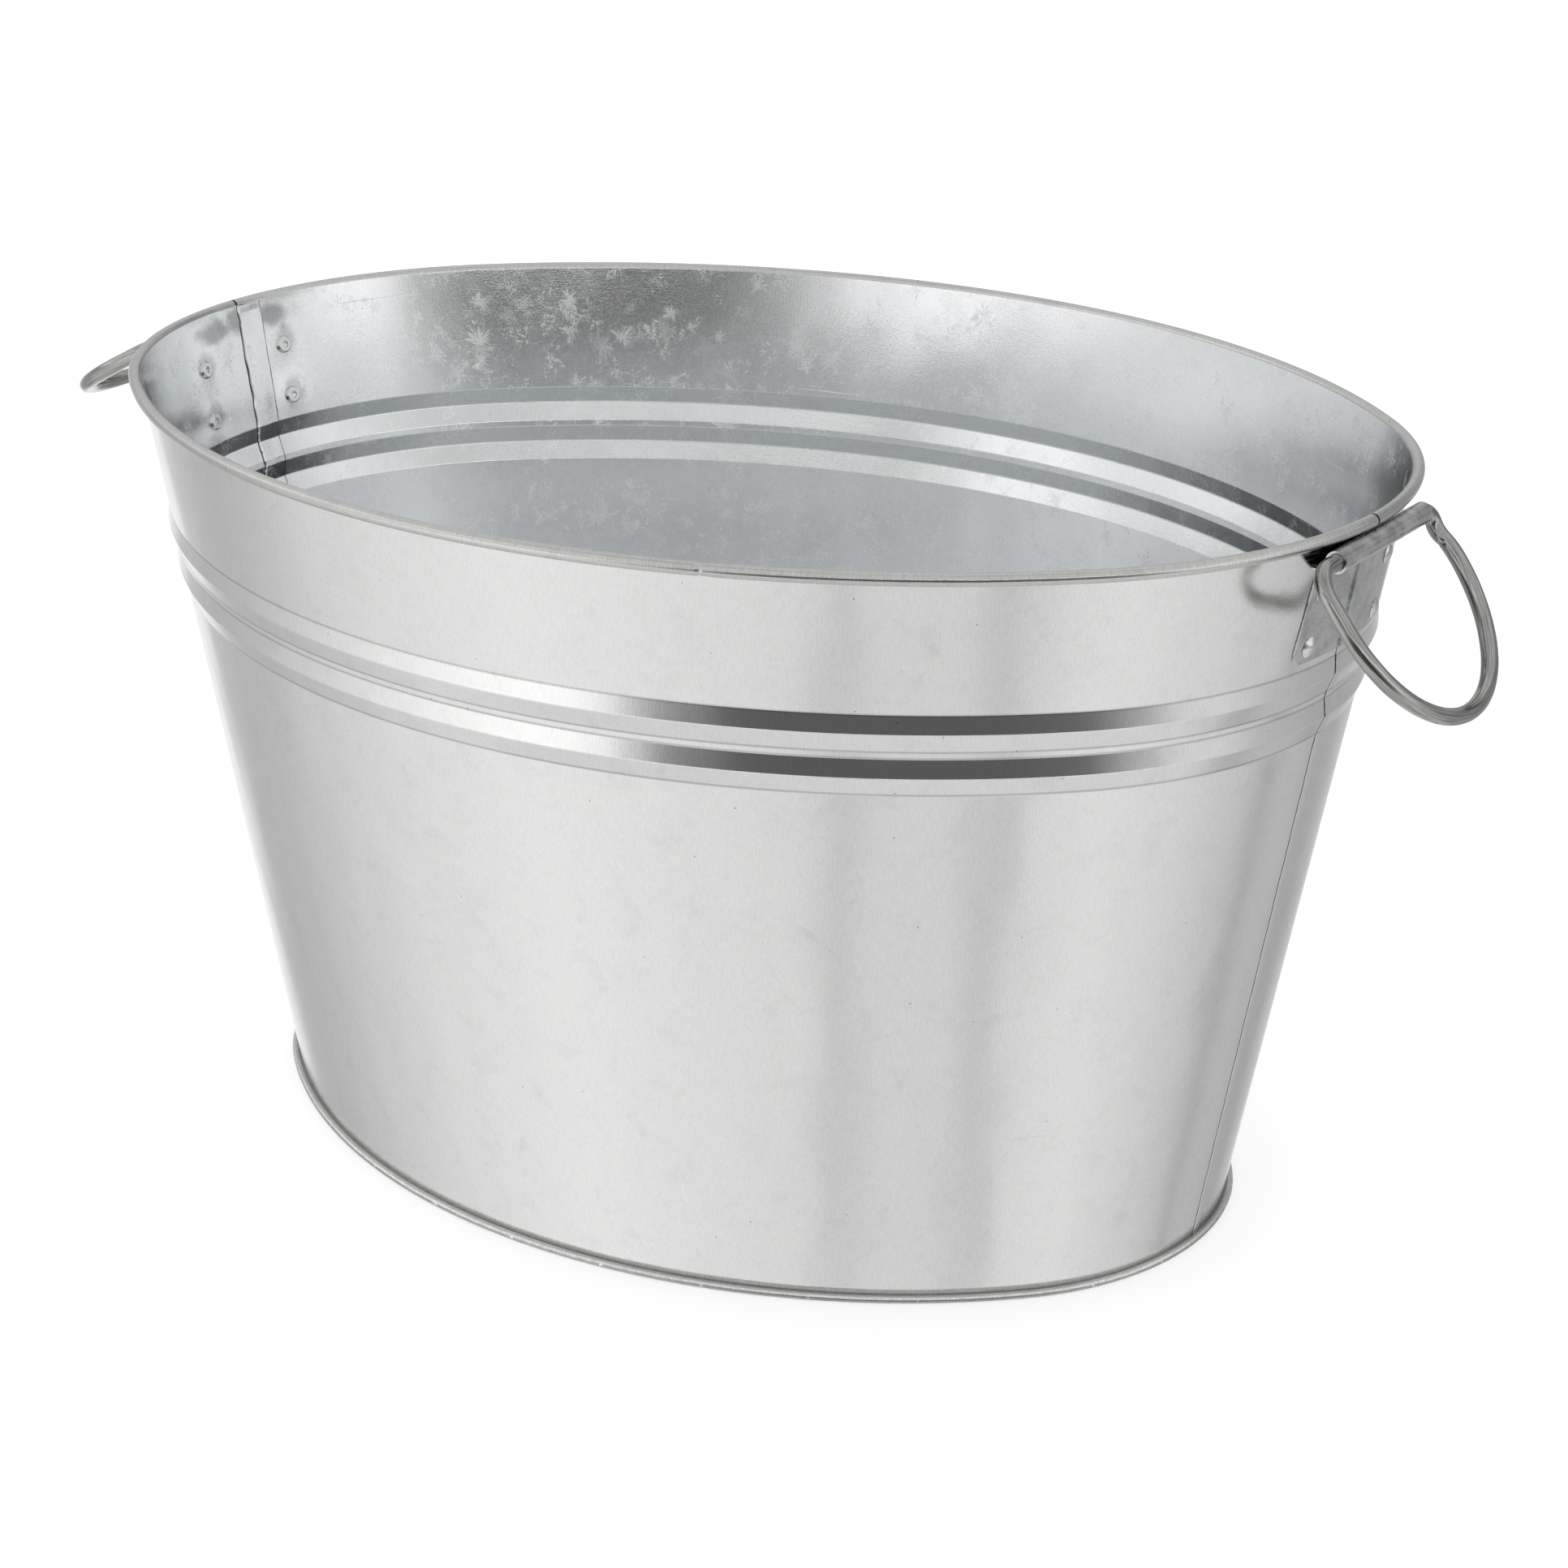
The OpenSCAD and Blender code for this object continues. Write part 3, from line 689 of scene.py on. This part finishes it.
def sheet_metal(
    flake, clear, frosted, tone, tone_flake, wear, relief, joints=(), plates=(), gap=0.26, spots=()
):
    """Rolled zinc-coated sheet. On swept sheets x runs round the tub and y along the sheet.

    flake is how strong the crystals are, clear and frosted the roughness between and on
    them, tone and tone_flake their colours, wear how dirty the sheet is, and relief the
    height of its grain in metres. A dark line lies at each joint, gap being half its width.
    """

    def draw(t, point):
        parts = t.split(point)
        x, y, z = parts

        # Crystals, thick in some fields and thin in others, over a faint frost
        field = t.noise(point, 0.03, 3.0, 0.6)
        frost = t.smooth(t.noise(point, 0.1, 6.0, 0.72, 1.2), 0.47, 0.68)
        large, small = flowers(t, point, 15.0, 1.0), flowers(t, point, 10.5, 2.0)
        crystals = t.math("MAXIMUM", large, t.mul(small, 0.75))
        crystals = t.mul(crystals, t.smooth(field, 0.36, 0.5, 0.3, 1.0))
        crystals = t.mul(t.add(crystals, t.mul(frost, 0.09), clamp=True), flake)

        # Marks of the rolls: fine ticks, a linen pattern, and lines round the tub
        ticks = t.noise(t.stretch(parts, 2.8, 0.6), 1.0, 3.0, 0.75)
        linen = t.noise(t.stretch(parts, 1.25, 0.2), 1.0, 4.0, 0.7)
        grain = t.noise(t.stretch(parts, 0.25, 2.4), 1.0, 2.0, 0.6)

        # Stains and clouds, pits, slanting scratches and level scuffs
        stain = t.smooth(t.noise(point, 0.07, 5.0, 0.66, 0.4), 0.56, 0.74)
        cloudlet = t.noise(point, 0.11, 3.0, 0.6)
        aside = t.combine(t.add(x, 300.0), y, z)
        blotch = t.smooth(t.noise(aside, 0.06, 6.0, 0.7, 0.8), 0.48, 0.72)
        speck = t.voronoi(point, 0.12)
        chance = t.split(speck["Color"])[0]
        pit = t.mul(t.smooth(speck["Distance"], 0.05, 0.02), t.smooth(chance, 0.66, 0.68))
        ahead = t.add(t.mul(x, 0.09), t.mul(y, 0.05))
        slant = t.combine(ahead, t.sub(t.mul(y, 1.1), t.mul(x, 0.9)), z)
        scratch = t.smooth(t.noise(slant, 0.42, 1.0, 0.4, 0.3), 0.775, 0.8)
        scuff = t.smooth(t.noise(t.stretch(parts, 0.02, 1.3), 0.5, 1.0, 0.4, 0.2), 0.75, 0.79)
        marks = t.math("MAXIMUM", scratch, scuff)

        shade = t.sub(1.0, t.add(t.mul(stain, 0.045 * wear), t.mul(pit, 0.5 * wear)))
        factors = [
            t.smooth(ticks, 0.3, 0.7, 1.02 + 0.005 * wear, 0.99 - 0.025 * wear),
            t.less(blotch, 0.035 * wear),
            t.smooth(linen, 0.32, 0.68, 1.0 - 0.03 * wear, 1.0 + 0.02 * wear),
        ]
        factors += [joint_line(t, x, grain, joint, gap) for joint in joints]
        # painted shadow beside the ears' plates
        factors += [plate_edge_shadow(t, x, y, middle) for middle in plates]
        # painted dark reflections round the rivets and by the seams' tops
        factors += [dark_reflection_spot(t, x, y, cloudlet, spot) for spot in spots]
        if plates:  # the outside, where painted shade darkens the beads' creases
            factors += [t.less(t.smooth(t.apart(y, c), 0.75, 0.15), 0.3) for c in CREASES]
        for factor in factors:
            shade = t.mul(shade, factor)
        color = t.shaded(t.tint(crystals, tone, tone_flake), shade)

        rough = t.add(t.mix(crystals, clear, frosted), t.mul(stain, 0.03))
        rough = t.add(rough, t.mul(t.sub(ticks, 0.5), 0.1))
        rough = t.add(rough, t.mul(marks, 0.12))
        height = t.add(t.add(ticks, t.mul(linen, 0.8)), t.mul(grain, 0.35))
        height = t.sub(height, t.add(t.mul(marks, 0.35), pit))
        wave = t.noise(t.stretch(parts, 1.0, 0.6), 0.022, 1.0, 0.5)
        return color, rough, t.bump(height, 0.5, relief, t.bump(wave, 0.6, 0.0014))

    return draw


def brushed(tone, rough_low, rough_high, along, drift=0.1, streak=0.06):
    """Drawn or rolled metal with fine lines along one axis of its coordinates."""

    def draw(t, point):
        scales = {"x": (0.06, 3.0, 3.0), "y": (3.0, 0.06, 3.0)}[along]
        lines = t.noise(t.stretch(t.split(point), *scales), 1.0, 3.0, 0.6)
        cloud = t.noise(point, 0.12, 4.0, 0.6)
        speck = t.smooth(t.noise(point, 1.6, 2.0, 0.5), 0.62, 0.72)
        drifting = t.smooth(cloud, 0.35, 0.65, 1 - drift, 1 + drift / 2)
        shade = t.mul(drifting, t.smooth(lines, 0.3, 0.7, 1 - streak, 1 + streak * 0.7))
        shade = t.sub(shade, t.mul(speck, drift * 0.7))
        rough = t.smooth(cloud, 0.35, 0.7, rough_low, rough_high)
        rough = t.add(rough, t.mul(t.sub(lines, 0.5), 0.1))
        normal = t.bump(lines, 0.5, 0.00003, t.bump(cloud, 0.4, 0.003 * drift))
        return t.shaded(tone, shade), rough, normal

    return draw


def seam_draw(t, point):
    """Dull, dirty metal of the bottom seam, with painted shadow on the ledge by the wall, a
    painted highlight along its rounded edge and painted shade on the face below.
    """
    parts = t.split(point)
    y = parts[1]
    dirt = t.noise(t.stretch(parts, 0.25), 1.0, 5.0, 0.7)
    linen = t.noise(t.stretch(parts, 1.6, 0.5), 1.0, 3.0, 0.6)
    ragged = t.add(y, t.mul(t.sub(dirt, 0.5), 1.0))
    # painted shadow on the ledge by the wall, rising to a painted highlight on the rounded edge
    ledge = t.mul(t.smooth(ragged, 0.7, 1.3, 0.3, 0.62), t.smooth(ragged, 1.9, 2.5, 1.0, 1.5))
    # painted shade on the face below the edge
    face = t.smooth(y, 2.9, 3.5, 1.0, 0.55)
    shade = t.mul(t.mul(ledge, face), t.smooth(linen, 0.3, 0.7, 0.86, 1.08))
    shade = t.mul(shade, t.smooth(dirt, 0.35, 0.7, 1.05, 0.8))
    rough = t.smooth(dirt, 0.3, 0.7, 0.26, 0.42)
    return t.shaded((1.0, 1.0, 0.985), shade), rough, t.bump(t.add(dirt, linen), 0.5, 0.00006)


def seal_material():
    material, t, shader, point = new_material("seal_mastic")
    cloud = t.noise(point, 0.4, 4.0, 0.6)
    t.put(shader.inputs["Base Color"], t.tint(cloud, (0.30, 0.30, 0.29), (0.44, 0.44, 0.42)))
    t.put(shader.inputs["Roughness"], t.smooth(cloud, 0.3, 0.7, 0.6, 0.85))
    t.put(shader.inputs["Normal"], t.bump(cloud, 0.5, 0.0003))
    return material


def shade_material():
    """The dark inside of a crack: painted shade on the crack's faces."""
    material, t, shader, point = new_material("crack_shade")
    cloud = t.noise(point, 0.7, 3.0, 0.6)
    t.put(shader.inputs["Base Color"], t.tint(cloud, (0.02, 0.02, 0.02), (0.09, 0.09, 0.085)))
    shader.inputs["Roughness"].default_value = 0.8
    return material


# Places round the oval of the joints and of the ears' plates, with those at its start
# again at its end, and distances down the outside of the wall to the beads' creases
JOINTS = (RIGHT_SEAM, LEFT_SEAM, AROUND + RIGHT_SEAM)
PLATES = (0.0, LEFT_HANDLE, AROUND)
CREASES = [
    (ZS[0] - HEIGHT + BEAD_DROP + d) / LC
    for d in (0, BEAD_H, BEAD_H + STRIP, 2 * BEAD_H + STRIP)
]

zinc_outside = metal("zinc_outside", "UV", sheet_metal(
    0.12, 0.1, 0.3, (0.86, 0.86, 0.855), (0.87, 0.87, 0.87), 1.3, 0.000028, JOINTS, PLATES))
zinc_inside = metal("zinc_inside", "UV", sheet_metal(
    0.85, 0.1, 0.5, (0.85, 0.864, 0.872), (0.95, 0.957, 0.962), 0.7, 0.00007, spots=DARK_REFLECTION_SPOTS))
zinc_rim = metal("zinc_rim", "UV", sheet_metal(
    0.15, 0.14, 0.24, (0.66, 0.66, 0.65), (0.70, 0.70, 0.695), 2.0, 0.0001, JOINTS, (), 0.6))
zinc_pan = metal("zinc_pan", "Object", sheet_metal(
    0.8, 0.2, 0.5, (0.86, 0.873, 0.88), (0.93, 0.94, 0.945), 0.8, 0.00006))
ear_metal = metal("ear_metal", "Object", brushed((0.63, 0.635, 0.64), 0.2, 0.34, "y", 0.2, 0.1))
ring_metal = metal("ring_metal", "UV", brushed((0.44, 0.437, 0.43), 0.06, 0.11, "x", 0.04, 0.4))
rivet_metal = metal("rivet_metal", "Object", brushed((0.78, 0.78, 0.78), 0.16, 0.28, "y"))
wire_metal = metal("wire_metal", "Object", brushed((0.5, 0.5, 0.5), 0.3, 0.45, "x"))
seam_metal = metal("seam_metal", "UV", seam_draw)
crack_shade = shade_material()
seal_mastic = seal_material()


def node_material(name):
    """The material of a CAD node, by its name."""
    named = {"bottom_seam_seal": seal_mastic, "rim_wire": wire_metal}
    if name in named:
        return named[name]
    for part, made in (("ring_", ring_metal), ("ear", ear_metal), ("rivet", rivet_metal)):
        if part in name:
            return made
    return zinc_pan


for name, node in frame["nodes"].items():
    for slot in node.material_slots:
        slot.material = node_material(name)

# Pieces
wall_sheet("wall_sheet_back_skin", RIGHT_SEAM + 0.2, LEFT_SEAM - 0.2, "wall_sheet_back")
wall_sheet("wall_sheet_front_skin", LEFT_SEAM + 0.2, AROUND + RIGHT_SEAM - 0.2, "wall_sheet_front")

# Each ring's corner, corner and foot circles, as (out from the barrel, along it, radius)
RING_RIGHT = [(10.5, -42.3, 10.5), (5.5, 36.3, 5.5), (21.0, -5.2, 47.3)]
RING_LEFT = [(11.0, -37.6, 11.0), (11.0, 37.6, 11.0), (21.0, 0.0, 49.4)]
joints = {j["name"]: j["pos_m"] for j in frame["record"]["behaviour"]["joints"]}
ring_skin("ring_right_skin", joints["right_ring_swing"], 52.9, RING_RIGHT, (13.0, 42.0),
          0.0, "right_ring", "handle_ring_right", -1.5)
ring_skin("ring_left_skin", joints["left_ring_swing"], 28.6, RING_LEFT, (14.0, 48.8),
          math.pi + LEFT_TURN, "left_ring", "handle_ring_left")

seam_fold("seam_fold_right", RIGHT_SEAM)
seam_fold("seam_fold_left", LEFT_SEAM)
bottom_seam()
for number, (s, z) in enumerate(rivets()):
    rivet_tail("rivet_tail_%d" % (number + 1), s, z)

# Camera
CAMERA_PLACE = (0.73327, -1.08615, 0.65993)
CAMERA_TURN = (68.431 * RAD, -0.645 * RAD, 33.651 * RAD)
SENSOR_MM, LENS_MM = 36, 79.62
cam = bpy.data.objects.new("camera", bpy.data.cameras.new("camera"))
bpy.context.scene.collection.objects.link(cam)
bpy.context.scene.camera = cam
cam.location = CAMERA_PLACE
cam.rotation_euler = Euler(CAMERA_TURN, "XYZ")
cam.data.sensor_width = SENSOR_MM
cam.data.lens = LENS_MM
cam.data.clip_start, cam.data.clip_end = 0.05, 50

# Floor, light
# The metal doesn't see the floor, but the studio's lower bands instead
FLOOR_HALF, FLOOR_GREY, FLOOR_GLOW = 9, 0.8, 0.42
floor = link("floor", [
    (-FLOOR_HALF, -FLOOR_HALF, 0), (FLOOR_HALF, -FLOOR_HALF, 0),
    (FLOOR_HALF, FLOOR_HALF, 0), (-FLOOR_HALF, FLOOR_HALF, 0),
], [(0, 1, 2, 3)])
material = bpy.data.materials.new("floor_paint")
material.use_nodes = True
t = Tree(material.node_tree)
out, paint, clear = t.node("OutputMaterial"), t.node("BsdfPrincipled"), t.node("BsdfTransparent")
both, path = t.node("MixShader"), t.node("LightPath")
paint.inputs["Base Color"].default_value = (FLOOR_GREY, FLOOR_GREY, FLOOR_GREY, 1)
paint.inputs["Roughness"].default_value = 0.9
paint.inputs["Emission Color"].default_value = (1, 1, 1, 1)
t.put(paint.inputs["Emission Strength"], t.mul(path.outputs["Is Camera Ray"], FLOOR_GLOW))
t.put(both.inputs[0], path.outputs["Is Glossy Ray"])
t.put(both.inputs[1], paint.outputs[0])
t.put(both.inputs[2], clear.outputs[0])
t.put(out.inputs[0], both.outputs[0])
floor.data.materials.append(material)

# The studio as the metal sees it: grey by compass angle, clockwise from +Y, in bands
# from the floor upwards. Each band has the elevations at which it fades into the next.
# A band has at most 31 greys, because a ramp holds 32. The greys are not a free design:
# most were measured in the photo, as the brightness that the tub's metal reflects from
# each direction, and were then adjusted. See Known failures in report.md.
STUDIO = [
    ([(-180, 0.73), (180, 0.75)], (-55, -47)),
    ([(-180, 0.83), (-150, 0.92), (-120, 0.81), (-105, 0.70), (-90, 0.59), (-75, 0.5),
      (-64, 0.52), (-54, 0.85), (-46, 1.1), (-22, 1.1), (-14, 0.66), (-6, 0.5), (8, 0.4),
      (20, 0.5), (30, 0.54), (38, 0.51), (43, 0.42), (49, 0.57), (57, 0.63), (70, 0.71),
      (105, 0.84), (115, 0.82), (123, 0.77), (127, 0.5), (131, 0.7), (140, 0.73),
      (152, 0.73), (156, 0.55), (160, 0.74), (166, 0.8)], (-30, -21)),
    ([(-180, 0.3), (-175, 0.5), (-170, 1.05), (-160, 1.18), (-148, 1.12), (-125, 0.85),
      (-110, 0.68), (-95, 0.54), (-82, 0.5), (-64, 0.6), (-56, 0.95), (-26, 1.0),
      (-16, 0.6), (0, 0.46), (28, 0.41), (45, 0.48), (62, 0.54), (74, 0.72), (88, 0.74),
      (98, 0.6), (107, 0.34), (116, 0.17), (128, 0.11), (166, 0.11), (175, 0.18)], (-9, -4)),
    ([(-180, 0.75), (-172, 1.1), (-150, 1.08), (-132, 0.95), (-110, 0.66), (-82, 0.5),
      (-20, 0.48), (0, 0.35), (28, 0.32), (50, 0.4), (66, 0.8), (74, 1.1), (92, 1.1),
      (99, 0.75), (108, 0.4), (120, 0.17), (135, 0.11), (160, 0.12), (170, 0.3)], (8, 10)),
    ([(-180, 0.88), (-165, 0.72), (-120, 0.82), (-105, 1.0), (-90, 0.85), (-60, 0.65),
      (-15, 0.6), (0, 0.5), (15, 0.36), (30, 0.40), (45, 0.56), (60, 0.8), (75, 0.97),
      (90, 1.0), (105, 1.1), (120, 1.2), (150, 1.2), (158, 0.8), (170, 0.8)], (18.5, 20.5)),
    ([(-180, 0.5), (-163, 0.52), (-155, 0.95), (-145, 1.18), (-105, 1.05), (-90, 0.89),
      (-72, 0.68), (-25, 0.64), (-14, 0.46), (-6, 0.2), (22, 0.2), (29, 0.28), (36, 0.5),
      (50, 0.8), (62, 0.9), (80, 0.76), (105, 0.62), (122, 0.5), (150, 0.46)], (25, 27.5)),
    ([(-180, 0.9), (-105, 0.95), (-80, 0.78), (-30, 0.6), (0, 0.42), (24, 0.48), (50, 0.8),
      (80, 0.8), (105, 0.7), (125, 0.72), (165, 0.75)], (34, 42)),
    ([(-180, 0.72), (180, 0.72)], (62, 70)),
    ([(-180, 0.62), (-110, 0.48), (-60, 0.66), (0, 0.8), (50, 0.62), (110, 0.5),
      (150, 0.7)], (76, 84)),
    ([(-180, 0.74), (180, 0.74)], None),
]
WHITE_BACKDROP, SOFT_LIGHT = 1.0, 0.9  # the world as the camera and as matt surfaces see it
world = bpy.data.worlds.new("studio")
bpy.context.scene.world = world
world.use_nodes = True
t = Tree(world.node_tree)
x, y, z = t.split(t.node("TexCoord").outputs["Generated"])
elevation = t.mul(t.math("ARCSINE", z), 180 / math.pi)
compass = t.add(t.math("DIVIDE", t.math("ARCTAN2", x, y), 2 * math.pi), 0.5)
studio, fade = None, None
for stops, fades in STUDIO:
    band = stops[0][1]
    if len(stops) > 2:
        band = t.ramp(compass, [(a / 360 + 0.5, v) for a, v in stops + [(180, band)]])
    studio = band if studio is None else t.mix(t.smooth(elevation, *fade), studio, band)
    fade = fades
path, background, out = t.node("LightPath"), t.node("Background"), t.node("OutputWorld")
seen = t.mix(path.outputs["Is Glossy Ray"], SOFT_LIGHT, studio)
t.put(background.inputs[0], t.mix(path.outputs["Is Camera Ray"], seen, WHITE_BACKDROP))
t.put(out.inputs[0], background.outputs[0])

LAMP_PLACE, LAMP_WIDTH, LAMP_WATTS = (-0.2, -0.1, 2.2), 1.6, 8
lamp = bpy.data.objects.new("top_softbox", bpy.data.lights.new("top_softbox", "AREA"))
bpy.context.scene.collection.objects.link(lamp)
lamp.location = LAMP_PLACE
lamp.data.shape, lamp.data.size = "DISK", LAMP_WIDTH
lamp.data.energy = LAMP_WATTS
lamp.visible_glossy = False

bpy.context.scene.view_settings.view_transform = "Standard"
